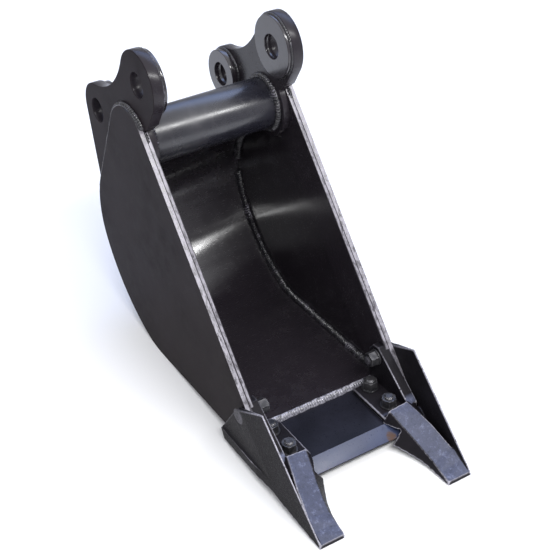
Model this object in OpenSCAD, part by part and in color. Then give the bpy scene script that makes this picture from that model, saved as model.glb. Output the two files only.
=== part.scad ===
// Narrow digging bucket for a small excavator, welded from plate, with bolted corner teeth.
// Frame: the origin is the middle of the dipper pin, X runs along the pins,
// the mouth and the teeth face -Y, and +Z is up as the bucket rests on its belly and teeth.

/* [Bucket body] */
// Width over the outer faces of the side plates
outer_w = 305; // [270:5:400]
// Thickness of a side plate
side_t = 8; // [6:1:10]
// Thickness of the rolled shell
shell_t = 8; // [6:1:10]
// How far a side plate stands out past the shell
overhang = 3; // [2:1:5]
// Depth of the floor below the dipper pin
floor_drop = 546; // [530:1:565]
// Distance from the dipper pin back to where the floor starts to curve
floor_end = -22; // [-30:1:-10]
// Radius of the outline at the belly and at the back
corner_r = 150; // [140:1:160]
// Radius of the flatter outline between belly and back
mid_r = 290; // [280:1:310]
// Angle between the mouth and the floor
mouth_angle = 50; // [48.5:0.5:51.5]

/* [Edges] */
// Thickness of the strip inside each front edge
strip_t = 8; // [6:1:10]
// Width of the strip inside each front edge
strip_w = 80; // [60:5:90]
// Thickness of the cutting edge
lip_t = 16; // [12:1:18]
// Distance from the dipper pin forward to the front end of the shell
shell_front = 299; // [290:1:305]
// Length of the cutting edge that is welded under the shell
lip_lap = 25; // [15:1:27]
// Distance from the dipper pin forward to the sharp front of the cutting edge
lip_front = 440; // [430:1:445]
// Length of the bevel on the cutting edge
bevel = 28; // [20:1:30]

/* [Ears and pins] */
// Bore for the dipper pin and the link pin
pin_d = 45; // [35:1:50]
// Distance between the two pins
pin_spacing = 213; // [205:1:220]
// Angle of the link pin below the dipper pin
link_angle = 34.5; // [33:0.5:36]
// Thickness of an ear plate
ear_t = 20; // [16:1:22]
// Thickness of the boss ring at the dipper pin
dipper_boss_t = 8; // [5:1:16]
// Thickness of the boss ring at the link pin
link_boss_t = 14; // [5:1:16]
// Step from the edge of an ear in to its boss rings
boss_step = 4; // [2:1:8]
// Radius of the ear round the dipper pin
dipper_lobe_r = 60; // [56:1:62]
// Radius of the ear round the link pin
link_lobe_r = 50; // [47:1:52]
// Radius of the hollow between the two lobes
scallop_r = 160; // [140:5:170]

/* [Cross tube] */
// Outer diameter of the cross tube
tube_d = 95; // [90:1:100]
// Wall of the cross tube
tube_wall = 10; // [8:1:14]
// Distance of the tube behind the dipper pin
tube_back = 40; // [36:1:42]
// Distance of the tube below the dipper pin
tube_drop = 125; // [122:1:128]
// Radius of the side plate's rounded top, which is centred on the tube
tab_r = 67; // [64:1:67]

/* [Corner teeth] */
// Thickness of the cast wing outside each side plate
wing_t = 10; // [8:1:12]
// Thickness of the wing at its front edge
wing_edge = 3; // [2:0.5:4]
// Thickness of the pad on the cutting edge
pad_t = 10; // [8:1:12]
// Thickness of the cheek inside each side plate
cheek_t = 20; // [18:1:22]
// Width of a tooth at its tip
tip_w = 49; // [46:1:50]
// Distance from the dipper pin forward to the tip of a tooth
tip_front = 555; // [550:1:560]
// Depth of the tip's underside below the dipper pin
tip_drop = 592; // [588:1:596]

/* [Bolts] */
// Thread diameter of the bolts
bolt_d = 16; // [14:1:16]
// Diameter of the bolt holes
hole_d = 17; // [17:0.5:18]
// Width across the flats of nuts and bolt heads
nut_af = 24; // [22:1:26]
// Height of a nut
nut_h = 15; // [12:1:16]
// Diameter of a washer
washer_d = 30; // [28:1:32]
// Thickness of a washer
washer_t = 3; // [2:0.5:4]
// Radius of a bolt's countersunk head
sink_r = 14; // [12:0.5:15]
// Height of a bolt's countersunk head
sink_h = 7; // [5:0.5:8]
// Length of thread that shows past a nut
thread_out = 4; // [2:1:6]

/* [Hidden] */
$fn = 96;
far = 2000;
paint = [0.10, 0.10, 0.11];
cast_paint = [0.20, 0.21, 0.25];
zinc = [0.45, 0.45, 0.47];

// Directions and lengths in the side view, where a point is [y, z].
function dir(a) = [cos(a), sin(a)];
function angle_of(p) = atan2(p[1], p[0]);

// Outward direction of the line that touches two circles on their rear side.
function rear_tangent(c1, r1, c2, r2) =
    angle_of(c2 - c1) - acos((r1 - r2) / norm(c2 - c1));

// Centre of a circle of radius r that touches circles round a and b from outside.
function outer_touch(a, ra, b, rb, r) =
    let (d = norm(b - a),
         along = ((ra + r) * (ra + r) - (rb + r) * (rb + r) + d * d) / (2 * d),
         up = sqrt((ra + r) * (ra + r) - along * along),
         u = (b - a) / d)
    a + along * u + up * [-u[1], u[0]];

// Widths, measured outward from the middle of the bucket.
plate_out = outer_w / 2;
plate_in = plate_out - side_t;
ear_in = plate_in - ear_t;
dipper_in = ear_in - dipper_boss_t;
link_in = ear_in - link_boss_t;
strip_in = plate_in - strip_t;
cheek_in = plate_in - cheek_t;

// Arcs stand this far proud of the lines that touch them, so that the pieces join cleanly.
skin = 0.05;

// Centres of the outline's arcs, and where one arc hands over to the next.
belly_turn = -65;
back_turn = -25;
belly_c = [floor_end, corner_r - floor_drop];
mid_c = belly_c + (corner_r - mid_r) * dir(belly_turn);
back_c = mid_c + (mid_r - corner_r) * dir(back_turn);
tube_c = [tube_back, -tube_drop];
tube_r = tube_d / 2;
end_step = 4;
shell_end = tube_r - end_step;
pin = [0, 0];
link = pin_spacing * dir(-link_angle);

// The mouth line touches the rounded top and runs down to the floor.
mouth_n = dir(90 + mouth_angle);
mouth_top = tube_c + tab_r * mouth_n;
function mouth_y(z) = mouth_top[0] + (z - mouth_top[1]) / tan(mouth_angle);

// Heights of floor, cutting edge and pad.
shell_bottom = overhang - floor_drop;
shell_top = shell_bottom + shell_t;
lip_top = shell_bottom;
lip_bottom = lip_top - lip_t;
pad_top = lip_top + pad_t;

// The cutting edge ends in a narrow flat, and a weld step is left behind the pad.
lip_back = shell_front - lip_lap;
lip_flat = 2;
pad_step = 14;
pad_rear = shell_front + pad_step;
pad_in = 77;

// An ear's foot stops short of the mouth, and its rear edge runs down to the shell.
ear_foot = 8;
ear_rear_angle = -11;
ear_rear_len = 165;
ear_step = 3;
ear_foot_r = tab_r - ear_step;

// Places of the bolts, [x, y] on the pad and [y, z] through the cheek.
floor_bolt_x = 104;
floor_bolt_ys = [-329, -385];
cheek_bolt = [-318, -478];
sink_room = 0.5;
sink_skin = 0.01;
nut_bevel = 1;
nut_skin = 0.5;
cut = 1;

// Corners of the cast corner's side view.
wing_rear = [-312, -466];
wing_top = [-386, -430];
heel_top = [-262, -540];
heel_bottom = [-272, lip_bottom - 2];
sole_break = [-415, lip_bottom - 5];
heel_out = 4;
heel_end = [sole_break + [-25, 2], sole_break + [-5, 19]];
thin_w = 60;
cheek_rear = -296;
cheek_front = -414;
cheek_step = 10;
cheek_top = [[cheek_rear, -472], [-306, -458], [-322, -456], [-348, -474]];
tip_bottom = [-tip_front, -tip_drop];
sole_slope = (tip_drop + sole_break[1]) / (tip_front + sole_break[0]);
function sole_at(front) = tip_drop - (tip_front - front) * sole_slope;

// The bucket leans back until its belly and the tips of its teeth touch the ground.
lean = angle_of(belly_c - tip_bottom) - asin(corner_r / norm(belly_c - tip_bottom));

// Cross-sections of the tooth on the right, from its root to its tip. Each row gives how far
// forward it is, the inner and the outer edge of the crown and the inner edge of the base.
// An edge is [distance from the middle, depth below the dipper pin].
wing_in = plate_out + cut;
tip_out = plate_out + wing_edge;
tip_in = tip_out - tip_w;
tip_edge = 8;
tooth_back = 410;
tip_top = tip_drop - tip_edge;
function on_sole(front, inner, outer, base) = [front, inner, outer, [base, sole_at(front)]];
sections = [[tooth_back, [86, 520], [124, 516], [74, -lip_top]],
            on_sole(lip_front + cut, [93, 537], [133, 528], 72),
            on_sole(465, [99, 550], [140, 539], 84),
            on_sole(487, [103, 561], [144, 550], 94),
            on_sole(510, [tip_in, 571], [149, 562], 100),
            on_sole(532, [tip_in, 578], [152, 574], 103),
            on_sole(tip_front, [tip_in, tip_top], [tip_out, tip_top], tip_in)];

module at_rest() rotate([-lean, 0, 0]) children();

// Turns a side view into a slab from x0 to x1.
module slab(x0, x1) translate([x0, 0, 0]) rotate([90, 0, 90]) linear_extrude(x1 - x0) children();

// The parts are drawn on the right and mirrored to the left.
module left() mirror([1, 0, 0]) children();

// A filled slice of a circle, for slices well under half a turn.
module pie(c, r, a0, a1) intersection() {
    translate(c) circle(r);
    polygon([c, c + 2 * r * dir(a0), c + 2 * r * dir(a1)]);
}

// The side view of the body below the tube, drawn in by inset. Its rear runs up to touch a
// circle of radius end_r round the tube. Its mouth side can be pushed out to cut the mouth
// open, and then it also reaches a little further up, so that no thin edge is left there.
module body(inset, end_r, push = 0) {
    r = corner_r - inset;
    top_n = rear_tangent(back_c, r, tube_c, end_r);
    bottom = inset - floor_drop;
    further = push > 0 ? cut * dir(mouth_angle) : [0, 0];
    translate(back_c) circle(r + skin);
    translate(belly_c) circle(r + skin);
    pie(mid_c, mid_r - inset, belly_turn, back_turn);
    polygon([[mouth_y(bottom) - push, bottom], [floor_end, bottom],
             mid_c + (mid_r - inset) * dir(belly_turn), mid_c + (mid_r - inset) * dir(back_turn),
             back_c, back_c + r * dir(top_n), tube_c + end_r * dir(top_n), tube_c + further,
             mouth_top + push * mouth_n + further]);
}

module side_outline() {
    translate(tube_c) circle(tab_r + skin);
    body(0, tab_r);
}

module cheek_hole(x0, x1) translate([x0, cheek_bolt[0], cheek_bolt[1]])
    rotate([0, 90, 0]) cylinder(d = hole_d, h = x1 - x0);

module side_plate() color(paint) at_rest() difference() {
    slab(plate_in, plate_out) side_outline();
    cheek_hole(plate_in - cut, plate_out + cut);
}

module shell_outline() difference() {
    body(overhang, shell_end);
    body(overhang + shell_t, shell_end - shell_t, far);
    translate(tube_c) circle(tube_r);
    translate([-far - shell_front, -far / 2]) square(far);
}

module back_shell() color(paint) at_rest() slab(-plate_in, plate_in) shell_outline();

module cutting_edge() color(paint) at_rest() difference() {
    slab(-plate_in, plate_in)
        polygon([[-lip_back, lip_bottom], [-lip_back, lip_top], [bevel - lip_front, lip_top],
                 [-lip_front, lip_bottom + lip_flat], [-lip_front, lip_bottom]]);
    for (s = [-1, 1], y = floor_bolt_ys) translate([s * floor_bolt_x, y, lip_bottom]) {
        translate([0, 0, -cut]) cylinder(d = hole_d, h = lip_t + 2 * cut);
        countersink(sink_room);
    }
}

// A bolt's flat conical head or the seat for it, with some room round it.
module countersink(room) translate([0, 0, -sink_skin * sign(room)]) rotate_extrude()
    polygon([[0, 0], [sink_r + room, 0], [bolt_d / 2 + room, sink_h], [0, sink_h]]);

module edge_strip() color(paint) at_rest() difference() {
    slab(strip_in, plate_in) intersection() {
        side_outline();
        polygon([[mouth_y(pad_top) - cut, pad_top],
                 [mouth_y(pad_top) + strip_w / sin(mouth_angle), pad_top],
                 mouth_top - strip_w * mouth_n, mouth_top + cut * mouth_n]);
    }
    slab(strip_in - cut, plate_in + cut) ear_outline();
    slab(strip_in - cut, plate_in + cut) cheek_outline();
}

module ear_outline() {
    hollow_c = outer_touch(pin, dipper_lobe_r, link, link_lobe_r, scallop_r);
    front_foot = mouth_top - ear_foot * dir(mouth_angle);
    front_n = angle_of(pin - front_foot) + asin(dipper_lobe_r / norm(front_foot)) + 90;
    rear = link + link_lobe_r * dir(ear_rear_angle);
    rear_foot = rear - ear_rear_len * dir(ear_rear_angle + 90);
    touch_pin = pin + dipper_lobe_r * (hollow_c - pin) / norm(hollow_c - pin);
    touch_link = link + link_lobe_r * (hollow_c - link) / norm(hollow_c - link);
    difference() {
        union() {
            translate(pin) circle(dipper_lobe_r + skin);
            translate(link) circle(link_lobe_r + skin);
            translate(tube_c) circle(ear_foot_r);
            polygon([dipper_lobe_r * dir(front_n), front_foot, tube_c, back_c, rear_foot, rear,
                     link, touch_link, touch_pin, pin]);
        }
        translate(hollow_c) circle(scallop_r);
        difference() {
            body(overhang, shell_end, far);
            translate(tube_c) circle(ear_foot_r);
        }
        shell_outline();
    }
}

module ear_plate() color(paint) at_rest() difference() {
    slab(ear_in, plate_in) ear_outline();
    pin_bore(pin, ear_in);
    pin_bore(link, ear_in);
}

// A pin's bore from x0 out through the ear.
module pin_bore(p, x0) translate([x0 - cut, p[0], p[1]]) rotate([0, 90, 0])
    cylinder(d = pin_d, h = plate_in - x0 + 2 * cut);

module boss(p, x0, r) color(paint) at_rest() difference() {
    translate([x0, p[0], p[1]]) rotate([0, 90, 0]) cylinder(r = r - boss_step, h = ear_in - x0);
    pin_bore(p, x0);
}

module cross_tube() color(paint) at_rest() translate([-ear_in, tube_c[0], tube_c[1]])
    rotate([0, 90, 0]) difference() {
        cylinder(d = tube_d, h = 2 * ear_in);
        translate([0, 0, -cut]) cylinder(d = tube_d - 2 * tube_wall, h = 2 * (ear_in + cut));
    }

// Side views of the cast corner: the wing outside the plate and the cheek inside it.
module wing_outline() polygon([wing_rear, wing_top, [-tip_front, tip_edge - tip_drop], tip_bottom,
                               sole_break, heel_bottom, heel_top]);

module heel_outline() polygon(concat([heel_top, heel_bottom, sole_break], heel_end));

module cheek_outline() polygon(concat([[cheek_rear, pad_top]], cheek_top,
                                      [[cheek_front, pad_top + cheek_step], [cheek_front, pad_top]]));

// The tooth narrows from a broad root to a waist, and its inner side leans into the crown.
module tooth() for (i = [1 : len(sections) - 1]) hull() {
    tooth_slice(sections[i - 1]);
    tooth_slice(sections[i]);
}

// A thin slice of the tooth that ends at the front it is named for.
module tooth_slice(s) translate([0, -s[0], 0]) rotate([-90, 0, 0]) linear_extrude(cut)
    polygon([s[1], s[2], [wing_in, s[3][1]], s[3]]);

// The room that the cutting edge and the side plate take up.
module body_room() {
    translate([0, -lip_front - cut, lip_bottom - far]) cube([plate_in, far, far + lip_t]);
    slab(plate_in, plate_out) side_outline();
}

module side_cutter() color(cast_paint) at_rest() difference() {
    union() {
        slab(plate_out, plate_out + wing_t) wing_outline();
        slab(plate_out, plate_out + wing_t + heel_out) heel_outline();
        slab(cheek_in, plate_in) cheek_outline();
        translate([pad_in, -tooth_back - cut, lip_top])
            cube([plate_in - pad_in, tooth_back + cut - pad_rear, pad_t]);
        difference() {
            tooth();
            body_room();
        }
    }
    wing_bevel();
    cheek_hole(cheek_in - cut, plate_out + wing_t + cut);
    at_cheek_head() countersink(sink_room);
    for (y = floor_bolt_ys) translate([floor_bolt_x, y, lip_top - cut])
        cylinder(d = hole_d, h = pad_t + 2 * cut);
}

// Thins the wing's outer face towards its front edge.
module wing_bevel() {
    edge = tip_bottom - wing_top;
    slope = atan2(wing_t - wing_edge, thin_w);
    translate([tip_out, wing_top[0], wing_top[1]]) rotate([angle_of(edge), 0, 0])
        rotate([0, slope, 0]) translate([0, -far / 2, -far / 2]) cube([thin_w, far, far]);
}

module hex(h) cylinder(d = nut_af / cos(30), h = h, $fn = 6);

module ring(d_out, h) difference() {
    cylinder(d = d_out, h = h);
    translate([0, 0, -cut]) cylinder(d = hole_d, h = h + 2 * cut);
}

// A hexagon nut with both faces turned to a shallow cone.
module nut() difference() {
    r = nut_af / 2 - nut_bevel;
    steep = nut_h + nut_bevel;
    intersection() {
        hex(nut_h);
        translate([0, 0, -nut_skin]) cylinder(r1 = r, r2 = r + 2 * steep, h = steep);
        translate([0, 0, nut_skin - nut_bevel]) cylinder(r1 = r + 2 * steep, r2 = r, h = steep);
    }
    translate([0, 0, -cut]) cylinder(d = bolt_d, h = nut_h + 2 * cut);
}

module at_floor_bolts() at_rest() for (y = floor_bolt_ys) translate([floor_bolt_x, y, 0]) children();

module floor_bolts() color(zinc) at_floor_bolts() translate([0, 0, lip_bottom])
    bolt(pad_top - lip_bottom);

module floor_nuts() color(zinc) at_floor_bolts() translate([0, 0, pad_top + washer_t]) nut();

module floor_washers() color(zinc) at_floor_bolts() translate([0, 0, pad_top]) ring(washer_d, washer_t);

// A bolt that stands on its head, for parts of the given total thickness.
module bolt(grip) {
    cylinder(d = bolt_d, h = grip + washer_t + nut_h + thread_out);
    countersink(0);
}

// Puts +Z along -X, starting on the wing's outer face or on the cheek's inner face.
module at_cheek_head() translate([plate_out + wing_t, cheek_bolt[0], cheek_bolt[1]])
    rotate([0, -90, 0]) children();

module at_cheek_bolt() at_rest() translate([cheek_in, cheek_bolt[0], cheek_bolt[1]])
    rotate([0, -90, 0]) children();

module cheek_bolt() color(zinc) at_rest() at_cheek_head() bolt(cheek_t + side_t + wing_t);

module cheek_nut() color(zinc) at_cheek_bolt() translate([0, 0, washer_t]) nut();

module cheek_washer() color(zinc) at_cheek_bolt() ring(washer_d, washer_t);

left() side_plate();  // side_plate_left
side_plate();  // side_plate_right
left() edge_strip();  // edge_strip_left
edge_strip();  // edge_strip_right
left() ear_plate();  // ear_plate_left
ear_plate();  // ear_plate_right
left() boss(pin, dipper_in, dipper_lobe_r);  // dipper_boss_left
boss(pin, dipper_in, dipper_lobe_r);  // dipper_boss_right
left() boss(link, link_in, link_lobe_r);  // link_boss_left
boss(link, link_in, link_lobe_r);  // link_boss_right
cross_tube();
back_shell();
cutting_edge();
left() side_cutter();  // side_cutter_left
side_cutter();  // side_cutter_right
left() floor_bolts();  // floor_bolts_left
floor_bolts();  // floor_bolts_right
left() floor_nuts();  // floor_nuts_left
floor_nuts();  // floor_nuts_right
left() floor_washers();  // floor_washers_left
floor_washers();  // floor_washers_right
left() cheek_bolt();  // cheek_bolt_left
cheek_bolt();  // cheek_bolt_right
left() cheek_nut();  // cheek_nut_left
cheek_nut();  // cheek_nut_right
left() cheek_washer();  // cheek_washer_left
cheek_washer();  // cheek_washer_right
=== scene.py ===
"""Looks of the excavator bucket: painted plate, cast corner teeth, weld beads and bolts.

Everything is in metres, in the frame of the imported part: X along the pins, the mouth
and the teeth towards -Y, +Z up, and the origin in the middle of the dipper pin.
"""
import math

import bmesh
import bpy
from mathutils import Matrix, Vector


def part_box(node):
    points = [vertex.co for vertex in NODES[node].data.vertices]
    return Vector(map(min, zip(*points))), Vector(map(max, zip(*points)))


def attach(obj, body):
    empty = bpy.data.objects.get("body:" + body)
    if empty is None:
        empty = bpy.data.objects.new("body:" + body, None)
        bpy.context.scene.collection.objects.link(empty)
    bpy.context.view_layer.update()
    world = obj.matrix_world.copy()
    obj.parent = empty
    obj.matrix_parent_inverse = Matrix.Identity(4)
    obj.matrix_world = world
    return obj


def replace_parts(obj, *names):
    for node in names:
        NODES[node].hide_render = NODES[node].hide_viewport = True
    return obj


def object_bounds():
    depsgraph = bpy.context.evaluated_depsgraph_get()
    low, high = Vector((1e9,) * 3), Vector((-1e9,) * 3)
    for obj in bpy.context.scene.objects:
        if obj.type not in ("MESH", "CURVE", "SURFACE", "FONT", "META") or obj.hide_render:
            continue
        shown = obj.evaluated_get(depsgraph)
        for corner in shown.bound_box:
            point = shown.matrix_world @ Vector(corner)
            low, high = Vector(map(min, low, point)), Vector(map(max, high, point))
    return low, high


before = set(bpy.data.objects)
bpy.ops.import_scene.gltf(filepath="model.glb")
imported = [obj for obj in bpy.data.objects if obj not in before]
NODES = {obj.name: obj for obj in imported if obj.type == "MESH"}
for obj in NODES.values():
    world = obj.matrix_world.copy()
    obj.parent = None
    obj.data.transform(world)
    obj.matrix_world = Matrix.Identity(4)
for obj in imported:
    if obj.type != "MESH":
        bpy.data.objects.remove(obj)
cad_bounds = [list(corner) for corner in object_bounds()]
MM = 0.001
SNAP = 0.01 * MM        # corners closer than this are one corner
NEAR = 0.05 * MM        # a face this close to a plane lies in it
FLAT = 0.999            # cosine above which two directions count as the same
SIDES = {"left": -1, "right": 1}


# ---------------------------------------------------------------- places from the frame

def span(node, axis):
    """Lowest and highest coordinate of a CAD node along X, Y or Z."""
    low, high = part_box(node)
    i = "XYZ".index(axis)
    return low[i], high[i]


def middle(node, axis):
    """Middle of a CAD node's box along X, Y or Z."""
    low, high = span(node, axis)
    return (low + high) / 2


def centre(node):
    """Middle of a CAD node in the bucket's middle plane."""
    return Vector((0, middle(node, "Y"), middle(node, "Z")))


def side_view(point):
    """A point moved along X into the bucket's middle plane."""
    return Vector((0, point.y, point.z))


# Distances of inner faces from the middle plane, the cross tube's circle, and the floor's height.
PLATE_IN = span("side_plate_right", "X")[0]
EAR_IN = span("ear_plate_right", "X")[0]
STRIP_IN = span("edge_strip_right", "X")[0]
TUBE = centre("cross_tube")
TUBE_R = span("cross_tube", "Z")[1] - TUBE.z
GROUND = cad_bounds[0][2]


def welded(node):
    """A node's mesh as a bmesh whose split corners are joined and flat faces merged."""
    bm = bmesh.new()
    bm.from_mesh(NODES[node].data)
    bmesh.ops.remove_doubles(bm, verts=bm.verts, dist=SNAP)
    bmesh.ops.dissolve_limit(bm, angle_limit=math.radians(0.4), verts=bm.verts, edges=bm.edges)
    return bm


def outline(node, x):
    """Closed loops round a node's flat side at x, each a list of (start, end, outward normal).

    The normal is that of the face on the other side of the edge.
    """
    bm = welded(node)
    flat = [f for f in bm.faces if abs(f.normal.x) > FLAT and abs(f.verts[0].co.x - x) < NEAR]
    level = set(flat)
    rim = {}
    for face in flat:
        for loop in face.loops:
            others = [f for f in loop.edge.link_faces if f is not face]
            if not others or others[0] not in level:
                start, end = loop.vert, loop.link_loop_next.vert
                rim[start] = (end, others[0].normal.copy() if others else face.normal.copy())
    loops = []
    while rim:
        v = min(rim, key=lambda corner: (corner.co.y, corner.co.z))
        chain = []
        while v in rim:
            after, normal = rim.pop(v)
            chain.append((v.co.copy(), after.co.copy(), normal))
            v = after
        loops.append(chain)
    bm.free()
    return loops


def stretches(loops, keep):
    """The unbroken runs of an outline's edges that keep(middle of edge, normal) accepts."""
    runs = []
    for chain in loops:
        flags = [bool(keep((a + b) / 2, n)) for a, b, n in chain]
        if not any(flags):
            continue
        first = 0
        if not all(flags):
            first = next(i for i in range(len(flags)) if flags[i] and not flags[i - 1])
        run = []
        for k in range(len(chain)):
            i = (first + k) % len(chain)
            if flags[i]:
                run.append(chain[i])
            elif run:
                runs.append(run)
                run = []
        if run:
            runs.append(run)
    return runs


def biggest_face(node, aside=None):
    """Normal of the largest flat face of a node, leaving out faces that look along aside."""
    bm = welded(node)
    area = {}
    for f in bm.faces:
        if aside is None or abs(f.normal.dot(aside)) < 0.5:
            key = tuple(round(c, 2) for c in f.normal)
            total, normal = area.get(key, (0, f.normal.copy()))
            area[key] = (total + f.calc_area(), normal)
    bm.free()
    return max(area.values(), key=lambda pair: pair[0])[1]


# ACROSS runs along the pins, UP stands on the bucket's floor, FORWARD points out of the mouth
# along the floor, and MOUTH is where the front edges of the side plates look.
ACROSS = Vector((1, 0, 0))
UP = biggest_face("floor_washers_right")
if UP.z < 0:
    UP = -UP
FORWARD = ACROSS.cross(UP)
MOUTH = biggest_face("edge_strip_right", aside=ACROSS)
if MOUTH.y > 0:
    MOUTH = -MOUTH


# ---------------------------------------------------------------- materials

class Graph:
    """A short way to write a material's nodes."""

    def __init__(self, name):
        self.material = bpy.data.materials.new(name)
        self.material.use_nodes = True
        self.tree = self.material.node_tree
        self.tree.nodes.clear()
        self.output = self.add("ShaderNodeOutputMaterial")
        self.bsdf = self.add("ShaderNodeBsdfPrincipled")
        self.link(self.bsdf.outputs[0], self.output.inputs["Surface"])
        self.coords = self.add("ShaderNodeTexCoord").outputs["Object"]

    def add(self, kind, **settings):
        node = self.tree.nodes.new(kind)
        for key, value in settings.items():
            setattr(node, key, value)
        return node

    def link(self, a, b):
        self.tree.links.new(a, b)

    def put(self, value, socket):
        """Links a node's output to a socket, or sets a constant on it."""
        if isinstance(value, bpy.types.NodeSocket):
            self.link(value, socket)
        else:
            socket.default_value = value

    def noise(self, scale, detail=3, rough=0.55, stretch=None):
        """Noise with a number of cells to the metre; stretch scales it along X, Y and Z."""
        node = self.add("ShaderNodeTexNoise")
        node.inputs["Scale"].default_value = scale
        node.inputs["Detail"].default_value = detail
        node.inputs["Roughness"].default_value = rough
        where = self.coords
        if stretch:
            mapping = self.add("ShaderNodeMapping")
            mapping.inputs["Scale"].default_value = stretch
            self.link(where, mapping.inputs["Vector"])
            where = mapping.outputs["Vector"]
        self.link(where, node.inputs["Vector"])
        return node.outputs["Fac"]

    def ramp(self, value, low, high, to_low=0.0, to_high=1.0):
        """A smooth step from to_low at low to to_high at high."""
        node = self.add("ShaderNodeMapRange", clamp=True, interpolation_type="SMOOTHSTEP")
        self.put(value, node.inputs["Value"])
        limits = {"From Min": low, "From Max": high, "To Min": to_low, "To Max": to_high}
        for name, number in limits.items():
            node.inputs[name].default_value = number
        return node.outputs["Result"]

    def math(self, how, a, b=0.0):
        node = self.add("ShaderNodeMath", operation=how)
        self.put(a, node.inputs[0])
        self.put(b, node.inputs[1])
        return node.outputs[0]

    def facing(self, direction):
        """1 where the surface faces the given direction, falling to -1."""
        geometry = self.add("ShaderNodeNewGeometry")
        node = self.add("ShaderNodeVectorMath", operation="DOT_PRODUCT")
        self.link(geometry.outputs["Normal"], node.inputs[0])
        node.inputs[1].default_value = direction
        return node.outputs["Value"]

    def edges(self, radius, low, high):
        """1 along outside edges, from how far a rounded normal differs from the true one."""
        bevel = self.add("ShaderNodeBevel", samples=6)
        bevel.inputs["Radius"].default_value = radius
        geometry = self.add("ShaderNodeNewGeometry")
        node = self.add("ShaderNodeVectorMath", operation="DOT_PRODUCT")
        self.link(bevel.outputs[0], node.inputs[0])
        self.link(geometry.outputs["Normal"], node.inputs[1])
        occlusion = self.add("ShaderNodeAmbientOcclusion", samples=6, only_local=True, inside=True)
        occlusion.inputs["Distance"].default_value = radius
        outside = self.math("SUBTRACT", 1.0, occlusion.outputs["AO"])
        bent = self.ramp(self.math("SUBTRACT", 1.0, node.outputs["Value"]), low, high)
        return self.math("MULTIPLY", bent, self.ramp(outside, 0.05, 0.3))

    def mix(self, factor, a, b):
        """A blend of two colours."""
        node = self.add("ShaderNodeMix", data_type="RGBA")
        self.put(factor, node.inputs[0])
        for value, socket in ((a, node.inputs[6]), (b, node.inputs[7])):
            self.put(value if isinstance(value, bpy.types.NodeSocket) else (*value, 1.0), socket)
        return node.outputs[2]

    def blend(self, factor, a, b):
        """A blend of two numbers."""
        node = self.add("ShaderNodeMix", data_type="FLOAT")
        self.put(factor, node.inputs[0])
        self.put(a, node.inputs[2])
        self.put(b, node.inputs[3])
        return node.outputs[0]

    def rust(self, place):
        """A ragged spot of rust round a point."""
        reach = self.add("ShaderNodeVectorMath", operation="DISTANCE")
        self.link(self.coords, reach.inputs[0])
        reach.inputs[1].default_value = place
        near = self.ramp(reach.outputs["Value"], 20 * MM, 2 * MM)
        return self.ramp(self.math("MULTIPLY", near, self.noise(170, 5, 0.8)), 0.22, 0.46)

    def bump(self, layers):
        """Stacks bump layers, each (height, distance in metres, strength)."""
        normal = None
        for height, distance, strength in layers:
            node = self.add("ShaderNodeBump")
            node.inputs["Distance"].default_value = distance
            node.inputs["Strength"].default_value = strength
            self.link(height, node.inputs["Height"])
            if normal is not None:
                self.link(normal, node.inputs["Normal"])
            normal = node.outputs["Normal"]
        self.link(normal, self.bsdf.inputs["Normal"])

    def finish(self, color, roughness, metallic, ior):
        """Fills the shader's main sockets and gives the material."""
        self.put(color, self.bsdf.inputs["Base Color"])
        self.put(roughness, self.bsdf.inputs["Roughness"])
        self.put(metallic, self.bsdf.inputs["Metallic"])
        self.bsdf.inputs["IOR"].default_value = ior
        return self.material


def times(color, factor):
    return tuple(c * factor for c in color)


BARE = (0.30, 0.285, 0.32)
RUST = (0.075, 0.042, 0.030)


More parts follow.
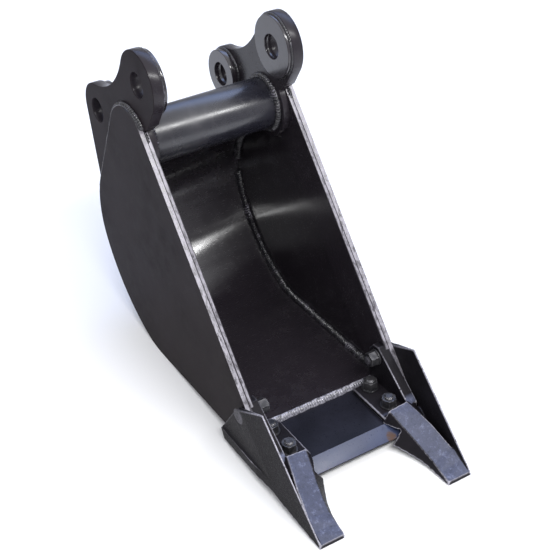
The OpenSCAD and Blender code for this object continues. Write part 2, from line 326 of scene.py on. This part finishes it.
def paint(name, color, dust, gloss, *, dusting, wear, bare_and_sheen_faces=None, spec=0.6, satin_shade=None,
          stretched=0.0):
    """Dark gloss paint on rolled plate, rubbed through along edges; the lighter steel on
    bare_and_sheen_faces is partly wear and partly a painted reflection of the light those faces catch.

    satin is the colour, roughness and specular level of the faces that look outward; its darker colour
    is painted shade against the light those faces catch.
    stretched draws highlights out along the pins, as on plate with rolling marks.
    """
    g = Graph(name)
    clouds = g.noise(7, 4, 0.6)
    film = g.noise(38, 5, 0.65)
    specks = g.noise(420, 2, 0.5)
    scratches = g.noise(1, 3, 0.6, stretch=(70, 1100, 240))
    peel = g.noise(650, 2, 0.4)
    waves = g.noise(9, 2, 0.4)
    grit = g.noise(260, 4, 0.7)
    chips = g.ramp(grit, 0.42, 0.6)
    worn = g.math("MULTIPLY", g.edges(1.6 * MM, 0.04, 0.22), chips)
    worn = g.math("MULTIPLY", worn, wear)
    dusty = g.math("MULTIPLY", g.ramp(film, 0.42, 0.72), g.ramp(clouds, 0.35, 0.65))
    dusty = g.math("MULTIPLY", dusty, dusting)
    rough = g.ramp(clouds, 0.3, 0.7, gloss - 0.04, gloss + 0.05)
    rough = g.math("ADD", rough, g.ramp(film, 0.4, 0.8, 0, 0.07))
    rough = g.math("ADD", rough, g.ramp(scratches, 0.6, 0.72, 0, 0.10))
    shine = spec
    # Outward faces get a darker copy of the paint with their own matte roughness; the darker colour is
    # painted shade.
    if satin_shade:
        place = g.add("ShaderNodeSeparateXYZ")
        g.link(g.coords, place.inputs[0])
        turned_out = g.math("MULTIPLY", g.math("SIGN", place.outputs["X"]), g.facing((1, 0, 0)))
        away = g.ramp(turned_out, 0.3, 0.6)
        satin_shade_color, satin_rough, satin_spec = satin_shade
        matt_shade = g.mix(g.ramp(clouds, 0.3, 0.7), satin_shade_color, times(satin_shade_color, 1.25))
        color = g.mix(away, color, matt_shade)
        rough = g.blend(away, rough, g.ramp(film, 0.3, 0.8, satin_rough - 0.04, satin_rough + 0.08))
        shine = g.blend(away, spec, satin_spec)
    coat = g.mix(dusty, color, dust)
    coat = g.mix(g.math("MULTIPLY", g.ramp(specks, 0.68, 0.78), 0.4 * dusting), coat, dust)
    steel = g.mix(g.ramp(film, 0.45, 0.75), BARE, times(BARE, 0.6))
    # Faces that look one given way get lighter steel: partly wear, partly a painted reflection of the
    # light those faces catch.
    if bare_and_sheen_faces is not None:
        faced = g.ramp(g.facing(bare_and_sheen_faces), 0.965, 0.985)
        smears = g.noise(190, 5, 0.75, stretch=(1, 0.4, 0.4))
        rubbed_and_sheen = g.ramp(smears, 0.38, 0.58, 0.25, 1.0)
        worn = g.math("MAXIMUM", worn, g.math("MULTIPLY", faced, rubbed_and_sheen))
    g.bump([(waves, 4 * MM, 0.10), (peel, 0.25 * MM, 0.10), (scratches, 0.1 * MM, 0.10),
            (grit, 0.25 * MM, 0.10)])
    g.put(shine, g.bsdf.inputs["Specular IOR Level"])
    if stretched:
        tangent = g.add("ShaderNodeTangent", direction_type="RADIAL", axis="X")
        g.link(tangent.outputs[0], g.bsdf.inputs["Tangent"])
        g.bsdf.inputs["Anisotropic"].default_value = stretched
        g.bsdf.inputs["Anisotropic Rotation"].default_value = 0.25
    metal = g.math("MULTIPLY", worn, 0.25)
    return g.finish(g.mix(worn, coat, steel), g.blend(worn, rough, 0.5), metal, 1.6)


def cast(name, color, slate, crown, front, rust_at):
    """Black paint over sand-cast steel, slate on the crown faces ahead of front: partly rubbed paint,
    partly a painted reflection of the sky on faces that look up.
    """
    g = Graph(name)
    grain = g.noise(330, 6, 0.7)
    pits = g.noise(120, 5, 0.7)
    clouds = g.noise(14, 4, 0.6)
    place = g.add("ShaderNodeSeparateXYZ")
    g.link(g.coords, place.inputs[0])
    ahead = g.ramp(place.outputs["Y"], front, front - 8 * MM)
    # Slate on faces that look along the crown: partly rubbed paint, partly a painted reflection of the
    # sky above.
    on_top = g.ramp(g.facing(crown), 0.90, 0.955)
    rubbed_and_sheen = g.math("MULTIPLY", ahead, on_top)
    rubbed_and_sheen = g.math("MULTIPLY", rubbed_and_sheen, g.ramp(pits, 0.25, 0.42, 0.55, 1.0))
    sharp = g.add("ShaderNodeNewGeometry").outputs["Pointiness"]
    bent = g.math("MAXIMUM", g.ramp(sharp, 0.51, 0.545), g.edges(3 * MM, 0.02, 0.10))
    ridge = g.math("MULTIPLY", bent, g.ramp(pits, 0.32, 0.46))
    used = g.ramp(place.outputs["Y"], front + 90 * MM, front + 10 * MM, 0.15, 1.0)
    ridge = g.math("MULTIPLY", ridge, used)
    rust = g.rust(rust_at)
    coat = g.mix(g.ramp(clouds, 0.35, 0.7), color, times(color, 1.5))
    light = g.mix(g.ramp(clouds, 0.35, 0.7), slate, times(slate, 1.25))
    streaks = g.noise(95, 7, 0.85)
    pale = tuple(c * 2.2 + 0.03 for c in slate)
    light = g.mix(g.ramp(streaks, 0.52, 0.64, 0, 0.8), light, pale)
    light = g.mix(g.ramp(streaks, 0.46, 0.34, 0, 0.8), light, times(slate, 0.5))
    coat = g.mix(rust, g.mix(rubbed_and_sheen, coat, light), RUST)
    bright = g.mix(g.ramp(grain, 0.4, 0.7), (0.42, 0.41, 0.46), (0.22, 0.21, 0.25))
    g.bump([(streaks, 2.0 * MM, 0.35), (pits, 1.6 * MM, 0.40), (grain, 0.7 * MM, 0.40)])
    g.put(g.blend(rubbed_and_sheen, 0.12, 0.4), g.bsdf.inputs["Specular IOR Level"])
    rough = g.blend(ridge, g.ramp(grain, 0.3, 0.7, 0.40, 0.60), 0.42)
    return g.finish(g.mix(ridge, coat, bright), rough, g.math("MULTIPLY", ridge, 0.4), 1.5)


def bead_metal(name, color, light, amount, crown=None):
    """Painted weld metal, bright on amount of its crests, or instead with a painted highlight along
    the sides of its crown.
    """
    g = Graph(name)
    grain = g.noise(500, 4, 0.6)
    clouds = g.noise(60, 4, 0.6)
    sharp = g.add("ShaderNodeNewGeometry").outputs["Pointiness"]
    patches = g.ramp(clouds, 0.62 - 0.35 * amount, 0.75 - 0.35 * amount)
    crest_wear_and_glint = g.math("MULTIPLY", g.ramp(sharp, 0.49, 0.54), patches)
    # With a crown direction, the bright colour goes on the sides of the crown instead: a painted
    # highlight.
    if crown is not None:
        toes = g.ramp(g.facing(crown), 0.97, 0.90)
        crest_wear_and_glint = g.math("MULTIPLY", toes, g.ramp(g.noise(150, 5, 0.75), 0.38, 0.56, 0.15, 1.0))
    g.bump([(clouds, 0.8 * MM, 0.2), (grain, 0.4 * MM, 0.35)])
    rough = g.ramp(grain, 0.3, 0.7, 0.18, 0.36)
    return g.finish(g.mix(crest_wear_and_glint, color, light), rough, g.math("MULTIPLY", crest_wear_and_glint, 0.3), 1.7)


def lip_paint(name, color, slate, bevel, rust_at):
    """The cutting edge: black on top, slate on its bevel that is partly rubbed paint and partly a
    painted reflection of the sky, with a rust spot by one tooth.
    """
    g = Graph(name)
    grain = g.noise(300, 5, 0.65)
    clouds = g.noise(16, 4, 0.6)
    film = g.noise(60, 4, 0.6)
    # Slate on the bevel: partly rubbed paint, partly a painted reflection of the sky it faces.
    on_bevel = g.ramp(g.facing(bevel), 0.955, 0.99)
    rubbed_and_sheen = g.math("MULTIPLY", on_bevel, g.ramp(film, 0.25, 0.42, 0.7, 1.0))
    worn = g.math("MULTIPLY", g.edges(1.2 * MM, 0.04, 0.22), g.ramp(grain, 0.42, 0.6))
    coat = g.mix(g.ramp(clouds, 0.35, 0.7), color, times(color, 1.7))
    light = g.mix(g.ramp(clouds, 0.35, 0.7), slate, times(slate, 1.25))
    coat = g.mix(rubbed_and_sheen, coat, light)
    coat = g.mix(worn, coat, BARE)
    rust = g.rust(rust_at)
    g.bump([(film, 0.8 * MM, 0.15), (grain, 0.25 * MM, 0.25)])
    g.put(g.blend(rubbed_and_sheen, 0.12, 0.45), g.bsdf.inputs["Specular IOR Level"])
    rough = g.blend(rust, g.ramp(grain, 0.3, 0.7, 0.26, 0.42), 0.8)
    return g.finish(g.mix(rust, coat, RUST), rough, g.math("MULTIPLY", worn, 0.4), 1.5)


def zinc(name, color, dark):
    """Dull dark fasteners, bright on the corners."""
    g = Graph(name)
    grain = g.noise(700, 4, 0.6)
    clouds = g.noise(90, 4, 0.6)
    rub = g.math("MULTIPLY", g.edges(0.9 * MM, 0.03, 0.2), g.ramp(clouds, 0.3, 0.5))
    coat = g.mix(g.ramp(clouds, 0.35, 0.65), color, dark)
    coat = g.mix(rub, coat, (0.5, 0.49, 0.52))
    g.bump([(clouds, 0.3 * MM, 0.2), (grain, 0.12 * MM, 0.25)])
    return g.finish(coat, g.ramp(grain, 0.3, 0.7, 0.28, 0.45), 0.6, 1.5)


def floor_finish():
    """A plain, nearly white floor."""
    g = Graph("pale_floor")
    clouds = g.noise(3, 3, 0.5)
    g.bump([(g.noise(60, 3, 0.5), 0.5 * MM, 0.05)])
    return g.finish(g.mix(clouds, (0.90, 0.90, 0.90), (0.93, 0.93, 0.93)), 0.65, 0.0, 1.4)


# ---------------------------------------------------------------- meshes

def piece(name, bm, material, *, smooth=True):
    """Turns a bmesh into a piece that rides on the bucket."""
    bmesh.ops.recalc_face_normals(bm, faces=bm.faces)
    mesh = bpy.data.meshes.new(name)
    bm.to_mesh(mesh)
    bm.free()
    for polygon in mesh.polygons:
        polygon.use_smooth = smooth
    mesh.materials.append(material)
    obj = bpy.data.objects.new(name, mesh)
    bpy.context.scene.collection.objects.link(obj)
    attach(obj, "root")
    return obj


def swell(s, seed):
    """A slow, repeatable wander between about -1 and 1 along a path."""
    waves = ((61, 1.0), (149, 2.3), (307, 3.1))
    return sum(math.sin(s * pace + shift * seed) for pace, shift in waves) / len(waves)


def resample(points, normals, step, closed):
    """Even (point, normal, distance) rows along a polyline, and its whole length."""
    if closed:
        points, normals = points + points[:1], normals + normals[:1]
    total = sum((b - a).length for a, b in zip(points, points[1:]))
    count = max(3, round(total / step))
    out, i, done = [], 0, 0.0
    for k in range(count + (0 if closed else 1)):
        target = total * k / count
        while i < len(points) - 2 and done + (points[i + 1] - points[i]).length < target:
            done += (points[i + 1] - points[i]).length
            i += 1
        length = max((points[i + 1] - points[i]).length, 1e-9)
        t = min(1, (target - done) / length)
        normal = normals[i].lerp(normals[i + 1], t).normalized()
        out.append((points[i].lerp(points[i + 1], t), normal, target))
    return out, total


RIPPLE = 5 * MM         # from one weld ripple to the next
RIPPLE_STEPS = 8        # rows of points in a ripple
RIPPLE_LAG = 0.45       # how far a ripple's middle trails its ends
SECTION = 9             # points across a bead's face
CROWN_RISE = 0.17       # height of a bead's crown over its flat face, of its leg
ROOT_DEPTH = 0.35 * MM  # how far a bead's root sinks into the corner
TAPER = 5 * MM          # over which an open end of a bead rises
TAPER_START = 1.5 * MM  # distance into that taper at the very end
SHORTEST = 12 * MM      # runs shorter than this get no bead


def lay_bead(bm, points, normals, side, leg_side, leg_out, *, seed, closed=False, ripple=0.09,
             wander=0.07):
    """Adds one fillet bead in the corner along points: a leg along side, and one along the normals."""
    rows = []
    leg = min(leg_side, leg_out)
    path, total = resample(points, normals, RIPPLE / RIPPLE_STEPS, closed)
    for place, normal, s in path:
        end = 1.0 if closed else min(1.0, (min(s, total - s) + TAPER_START) / TAPER)
        a = side * leg_side * (1 + wander * swell(s, seed)) * math.sqrt(end)
        b = normal * leg_out * (1 + wander * swell(s, seed + 5)) * math.sqrt(end)
        outward = a.normalized() + b.normalized()
        row = [bm.verts.new(place - outward * ROOT_DEPTH)]
        for j in range(SECTION):
            t = j / (SECTION - 1)
            bow = math.sin(math.pi * t)
            wave = math.cos(2 * math.pi * (s / RIPPLE - RIPPLE_LAG * bow))
            rise = CROWN_RISE + ripple * (wave + 0.7 * swell(3 * s, seed))
            row.append(bm.verts.new(place + a * (1 - t) + b * t + outward * (rise * leg * bow * end)))
        rows.append(row)
    pairs = list(zip(rows, rows[1:])) + ([(rows[-1], rows[0])] if closed else [])
    for low, high in pairs:
        for j in range(len(low)):
            k = (j + 1) % len(low)
            bm.faces.new((low[j], low[k], high[k], high[j]))
    if not closed:
        bm.faces.new(rows[0])
        bm.faces.new(list(reversed(rows[-1])))


def corner_normals(edge_normals, closed):
    """Normals at a run's corners, from those of the edges on either side."""
    if closed:
        before = edge_normals[-1:] + edge_normals[:-1]
        after = edge_normals
    else:
        before = edge_normals[:1] + edge_normals
        after = edge_normals + edge_normals[-1:]
    return [(a + b).normalized() for a, b in zip(before, after)]


def weld_round(name, node, x, side, keep, leg_side, leg_out, at=None, **look):
    """Beads along a node's outline at x, on both sides of the bucket.

    side is -1 where the bead lies on the inner face of a plate and 1 on its outer face;
    at is the bead's own distance from the middle, where that isn't x.
    """
    for word, sign in SIDES.items():
        bm = bmesh.new()
        runs = stretches(outline(node.format(word), sign * x), keep)
        for i, run in enumerate(runs):
            if sum((b - a).length for a, b, n in run) < SHORTEST:
                continue
            closed = (run[-1][1] - run[0][0]).length < NEAR
            points = [a for a, b, n in run] + ([] if closed else [run[-1][1]])
            normals = corner_normals([n for a, b, n in run], closed)
            if at is not None:
                points = [side_view(p) + ACROSS * sign * at for p in points]
            lay_bead(bm, points, normals, ACROSS * sign * side, leg_side, leg_out,
                     seed=i + sign, closed=closed, **look)
        piece(f"{name}_{word}", bm, BEAD)


def weld_across(name, place, side, out, leg_side, leg_out, reach, material, **look):
    """One straight bead along X, as far as reach to either side of the middle."""
    bm = bmesh.new()
    lay_bead(bm, [place + ACROSS * x for x in (-reach, reach)], [out, out], side, leg_side, leg_out,
             seed=place.y * 40, **look)
    piece(name, bm, material)


def inside(loops, point):
    """Whether a point lies within a node's outline, seen along X."""
    crossings = 0
    for chain in loops:
        for a, b, n in chain:
            if (a.z > point.z) != (b.z > point.z):
                y = a.y + (point.z - a.z) / (b.z - a.z) * (b.y - a.y)
                crossings += y > point.y
    return crossings % 2 == 1


def islands(node):
    """The vertices of each separate lump of a node."""
    bm = welded(node)
    left, lumps = set(bm.verts), []
    for seed in bm.verts:
        if seed not in left:
            continue
        lump, todo = [], [seed]
        left.discard(seed)
        while todo:
            v = todo.pop()
            lump.append(v.co.copy())
            for e in v.link_edges:
                w = e.other_vert(v)
                if w in left:
                    left.discard(w)
                    todo.append(w)
        lumps.append(lump)
    bm.free()
    return lumps


AROUND = 48                 # points round a bolt
BOLT_R = 8 * MM
SLACK = 0.05 * MM           # by which a bolt stays inside its CAD node
HEAD_H = 7 * MM
HEAD_CHAMFER = 0.6 * MM
HEAD_SLACK = 0.1 * MM
THREADED = 10 * MM          # length of the thread
THREAD_ROWS = 40
PITCH = 2 * MM
THREAD_DEPTH = 1 * MM
TIP_CHAMFER = 1.2 * MM
TIP_R = BOLT_R - 1.4 * MM


def turned(bm, profile, base, axis, thread_from):
    """Turns (radius, height) points round an axis, with a thread above a height."""
    start = axis.orthogonal().normalized()
    other = axis.cross(start)
    rows = []
    for radius, height in profile:
        row = []
        for k in range(AROUND):
            turn = k / AROUND
            angle = 2 * math.pi * turn
            groove = 0
            if height > thread_from:
                phase = (height / PITCH - turn) % 1
                groove = THREAD_DEPTH * (1 - abs(2 * phase - 1)) ** 0.8
            ray = start * math.cos(angle) + other * math.sin(angle)
            row.append(bm.verts.new(base + axis * height + ray * (radius - groove)))
        rows.append(row)
    for low, high in zip(rows, rows[1:]):
        for k in range(AROUND):
            j = (k + 1) % AROUND
            bm.faces.new((low[k], low[j], high[j], high[k]))
    bm.faces.new(list(reversed(rows[0])))
    bm.faces.new(rows[-1])


def bolt_piece(node, axis, material):
    """Countersunk bolts in place of a CAD node, with a real thread where it shows."""
    bm = bmesh.new()
    for lump in islands(node):
        heights = [v.dot(axis) for v in lump]
        low, high = min(heights), max(heights)
        heart = sum(lump, Vector()) / len(lump)
        base = heart - axis * (heart.dot(axis) - low)
        widest = max((v - base - axis * (v - base).dot(axis)).length for v in lump)
        head_r = widest - HEAD_SLACK
        shank_r = BOLT_R - SLACK
        length = high - low
        start = length - THREADED
        end = length - TIP_CHAMFER
        profile = [(head_r - HEAD_CHAMFER, SLACK), (head_r, HEAD_CHAMFER), (shank_r, HEAD_H)]
        profile += [(shank_r, start + (end - start) * i / THREAD_ROWS) for i in range(THREAD_ROWS + 1)]
        profile.append((TIP_R, length - SLACK))
        turned(bm, profile, base, axis, start)
    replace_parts(piece(node + "_turned", bm, material, smooth=False), node)


CAST_VOXEL = 1.6 * MM


def casting(node, material):
    """A soft-edged cast copy of a CAD node that stands in for it."""
    bm = bmesh.new()
    bm.from_mesh(NODES[node].data)
    bmesh.ops.remove_doubles(bm, verts=bm.verts, dist=SNAP)
    obj = piece(node + "_cast", bm, material)
    remesh = obj.modifiers.new("remesh", "REMESH")
    remesh.mode = "VOXEL"
    remesh.voxel_size = CAST_VOXEL
    remesh.use_smooth_shade = True
    soft = obj.modifiers.new("soft", "SMOOTH")
    soft.factor = 0.5
    soft.iterations = 3
    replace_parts(obj, node)


# ---------------------------------------------------------------- dressing the plates

NIGHT = (0.018, 0.015, 0.019)
BLUE_NIGHT = (0.012, 0.012, 0.018)
DUST = (0.06, 0.055, 0.062)
# Colour, roughness and specular level for the outward faces; the darker colour is painted shade
# against the light they catch.
SATIN_SHADE = ((0.0115, 0.0082, 0.0098), 0.46, 0.03)
BODY = paint("body_paint", NIGHT, DUST, 0.17, dusting=0.25, wear=0.45, satin_shade=SATIN_SHADE)
# The mouth-facing front faces get lighter steel, partly wear and partly a painted reflection of the
# light on them.
FACES = paint("front_edge_paint", NIGHT, DUST, 0.17, dusting=0.25, wear=0.55,
              bare_and_sheen_faces=MOUTH, satin_shade=SATIN_SHADE)
SHELL = paint("shell_paint", NIGHT, DUST, 0.225, dusting=0.2, wear=0.3, spec=0.85, stretched=1.0)
EARS = paint("ear_paint", NIGHT, DUST, 0.26, dusting=0.25, wear=0.5, spec=0.2, satin_shade=SATIN_SHADE)
TUBE_PAINT = paint("tube_paint", BLUE_NIGHT, DUST, 0.25, dusting=0.3, wear=0.3, spec=0.6)

# Where the bevel and the teeth's crowns look, where the crowns start, and the rust spot at
# the lip's right end.
BEVEL = (UP * 2 + FORWARD).normalized()
CROWN = (UP * 0.93 + FORWARD * 0.37).normalized()
CROWN_FROM = -440 * MM
RUST_AT = Vector((74 * MM, span("cutting_edge", "Y")[0] + 6 * MM,
                  middle("cutting_edge", "Z") + 4 * MM))
# The bevel's slate is partly worn paint and partly a painted reflection of the sky.
LIP = lip_paint("lip_paint", (0.008, 0.008, 0.012), (0.034, 0.043, 0.085), BEVEL, RUST_AT)
# The crowns' slate is partly worn paint and partly a painted reflection of the sky.
CAST = cast("cast_tooth_paint", (0.008, 0.007, 0.009), (0.050, 0.057, 0.098), CROWN, CROWN_FROM,
            RUST_AT)
BEAD = bead_metal("weld_paint", (0.010, 0.009, 0.012), (0.15, 0.14, 0.17), 0.25)
# The lip bead's bright colour is a painted highlight along both sides of its crown.
LIP_BEAD = bead_metal("lip_weld", (0.022, 0.022, 0.028), (0.42, 0.41, 0.47), 1.0,
                      crown=(UP + FORWARD).normalized())
ZINC = zinc("dark_zinc", (0.085, 0.083, 0.088), (0.03, 0.03, 0.034))

SLOT_LOOK = {"body": BODY, "tube": TUBE_PAINT, "edge_steel": LIP, "cast_tooth": CAST, "fastener": ZINC}
OWN_LOOK = {"side_plate": FACES, "edge_strip": FACES, "ear_plate": EARS, "back_shell": SHELL}
STOOD_FOR = ("side_cutter", "floor_bolts", "cheek_bolt")
PLATE_ROUND = 1 * MM
FASTENER_ROUND = 0.5 * MM


def dress(name):
    """Rounds a CAD node's edges and gives it its material."""
    obj = NODES[name]
    slot = obj.material_slots[0].name
    material = SLOT_LOOK[slot]
    for start, own in OWN_LOOK.items():
        if name.startswith(start):
            material = own
    for held in obj.material_slots:
        held.link = "OBJECT"
        held.material = material
    weld = obj.modifiers.new("weld", "WELD")
    weld.merge_threshold = SNAP
    flat = obj.modifiers.new("flat", "DECIMATE")
    flat.decimate_type = "DISSOLVE"
    flat.angle_limit = math.radians(0.5)
    edge = obj.modifiers.new("edge", "BEVEL")
    edge.limit_method = "ANGLE"
    edge.angle_limit = math.radians(30)
    edge.width = FASTENER_ROUND if slot == "fastener" else PLATE_ROUND
    edge.segments = 2
    edge.harden_normals = True


for name in NODES:
    if not name.startswith(STOOD_FOR):
        dress(name)

for word, sign in SIDES.items():
    casting("side_cutter_" + word, CAST)
    bolt_piece("floor_bolts_" + word, UP, ZINC)
    bolt_piece("cheek_bolt_" + word, -ACROSS * sign, CAST)


# ---------------------------------------------------------------- weld beads

HOLLOW = centre("back_shell")
EAR_FOOT_R = 64 * MM
side_loops = outline("side_plate_right", PLATE_IN)
ear_loops = outline("ear_plate_right", PLATE_IN)
shell_loops = outline("back_shell", PLATE_IN)


def from_tube(point):
    """Distance from the cross tube's axis."""
    return (side_view(point) - TUBE).length


def along_shell_side(mid, n):
    """Whether an edge of the shell's outline is neither its front end nor against the tube."""
    return abs(n.dot(FORWARD)) < 0.995 and from_tube(mid) > TUBE_R + 1 * MM


def shell_inner(mid, n):
    return along_shell_side(mid, n) and n.dot(HOLLOW - side_view(mid)) > 0


def shell_outer(mid, n):
    return along_shell_side(mid, n) and n.dot(HOLLOW - side_view(mid)) < 0


def away_from(hub):
    """Picks a ring's outer outline and leaves out its bore."""
    return lambda mid, n: n.dot(side_view(mid) - hub) > 0


def on_ear(mid, n):
    return inside(ear_loops, mid + n * 2 * MM)


def shell_on_ear(mid, n):
    return shell_outer(mid, n) and inside(ear_loops, mid + n * 4 * MM)


def ear_foot(mid, n):
    """The round foot of the ear, where it lies on the side plate and not on the shell."""
    at_foot = abs(from_tube(mid) - EAR_FOOT_R) < 1 * MM
    return at_foot and inside(side_loops, mid) and not inside(shell_loops, mid + n * 2 * MM)


def strip_back(mid, n):
    return n.dot(MOUTH) < -0.99


# The shell between the side plates.
weld_round("shell_inner_weld", "back_shell", PLATE_IN, -1, shell_inner, 9.5 * MM, 9 * MM, ripple=0.13)
weld_round("shell_outer_weld", "back_shell", PLATE_IN, -1, shell_outer, 5 * MM, 3 * MM)

# The bosses on the ears, and the cross tube between them.
for boss in ("dipper_boss", "link_boss"):
    hub = centre(boss + "_right")
    weld_round(boss + "_weld", boss + "_{}", EAR_IN, -1, away_from(hub), 3.5 * MM, 3.2 * MM)
weld_round("tube_weld", "cross_tube", EAR_IN, -1, away_from(TUBE), 8 * MM, 8 * MM)

# The side plate's rounded top on the ear, the ear's foot on the plate, the shell on the ear,
# and the rear edge of the strip.
weld_round("tab_weld", "side_plate_{}", PLATE_IN, 1, on_ear, 7 * MM, 7 * MM)
weld_round("ear_foot_weld", "ear_plate_{}", PLATE_IN, -1, ear_foot, 7 * MM, 7 * MM)
weld_round("ear_shell_weld", "back_shell", PLATE_IN, -1, shell_on_ear, 6 * MM, 6 * MM, at=EAR_IN)
weld_round("strip_weld", "edge_strip_{}", PLATE_IN, -1, strip_back, 4 * MM, 4.5 * MM)


def ends_facing(loops, direction):
    """The corners, seen along X, of an outline's edges that look in a direction."""
    edges = [(a, b) for chain in loops for a, b, n in chain if n.dot(direction) > FLAT]
    return [side_view(corner) for edge in edges for corner in edge]


# The shell's front end stands on the cutting edge, with the second bead under the lap.
step = ends_facing(shell_loops, FORWARD)
weld_across("lip_weld", min(step, key=lambda p: p.dot(UP)), UP, FORWARD, 9 * MM, 9 * MM,
            STRIP_IN, LIP_BEAD, ripple=0.05, wander=0.12)
lap = ends_facing(outline("cutting_edge", PLATE_IN), -FORWARD)
weld_across("lap_weld", max(lap, key=lambda p: p.dot(UP)), -UP, -FORWARD, 8 * MM, 8 * MM,
            PLATE_IN, BEAD)

# The shell's top runs into the cross tube: one bead outside and one inside.
touching = {}
for chain in shell_loops:
    for a, b, n in chain:
        near_a, near_b = (abs(from_tube(p) - TUBE_R) < 2 * NEAR for p in (a, b))
        if near_a != near_b:
            corner = side_view(a if near_a else b)
            radial = (corner - TUBE).normalized()
            along_shell = (radial - n * radial.dot(n)).normalized()
            along_tube = (n - radial * n.dot(radial)).normalized()
            word = "outer" if n.dot(HOLLOW - corner) < 0 else "inner"
            touching[word] = (corner, along_shell, along_tube)
for word, (corner, along_shell, along_tube) in touching.items():
    weld_across(f"tube_{word}_weld", corner, along_shell, along_tube, 7 * MM, 7 * MM,
                EAR_IN, BEAD)


# ---------------------------------------------------------------- floor, light and camera

TARGET = Vector((-0.0103, -0.2429, -0.2974))
FLOOR_REACH = 14
scene = bpy.context.scene

corners = [(x * FLOOR_REACH, y * FLOOR_REACH, GROUND) for x, y in ((-1, -1), (1, -1), (1, 1), (-1, 1))]
floor_mesh = bpy.data.meshes.new("floor")
floor_mesh.from_pydata(corners, [], [(0, 1, 2, 3)])
floor_mesh.materials.append(floor_finish())
floor = bpy.data.objects.new("floor", floor_mesh)
scene.collection.objects.link(floor)


def lamp(name, direction, distance, width, height, watts, color=(1, 1, 1)):
    """A softbox that shines on the bucket from a direction, distance metres away."""
    light = bpy.data.lights.new(name, "AREA")
    light.shape = "RECTANGLE"
    light.size, light.size_y = width, height
    light.energy = watts
    light.color = color
    obj = bpy.data.objects.new(name, light)
    direction = Vector(direction).normalized()
    obj.location = TARGET + direction * distance
    obj.rotation_euler = direction.to_track_quat("Z", "Y").to_euler()
    scene.collection.objects.link(obj)


lamp("front_strip", (0.10, -0.57, 0.82), 2.6, 2.8, 0.18, 62)
lamp("overhead", (0.0, 0.0, 1.0), 4.2, 8.0, 8.0, 165, (0.97, 0.98, 1.0))
lamp("rear_sky", (0.42, 0.55, 0.74), 3.4, 3.4, 1.8, 42, (0.30, 0.48, 1.0))

world = bpy.data.worlds.new("studio")
scene.world = world
world.use_nodes = True
sky = world.node_tree
sky.nodes.clear()
sky_out = sky.nodes.new("ShaderNodeOutputWorld")
sky_back = sky.nodes.new("ShaderNodeBackground")
sky_back.inputs["Color"].default_value = (0.93, 0.94, 1.0, 1)
sky_back.inputs["Strength"].default_value = 0.62
sky.links.new(sky_back.outputs[0], sky_out.inputs["Surface"])

camera_data = bpy.data.cameras.new("photo_view")
camera = bpy.data.objects.new("photo_view", camera_data)
scene.collection.objects.link(camera)
camera_data.lens = 80.71
camera_data.sensor_width = 36
camera_data.clip_start = 0.1
camera_data.clip_end = 100
CAMERA_AT = Vector((-0.92854, -1.62657, 1.06953))
forward = Vector((0.42691, 0.6433, -0.63554)).normalized()
right = Vector((0.84438, -0.53513, 0.02553)).normalized()
above = right.cross(forward)
camera.matrix_world = Matrix((
    (right.x, above.x, -forward.x, CAMERA_AT.x),
    (right.y, above.y, -forward.y, CAMERA_AT.y),
    (right.z, above.z, -forward.z, CAMERA_AT.z),
    (0, 0, 0, 1)))
scene.camera = camera
scene.view_settings.view_transform = "Standard"
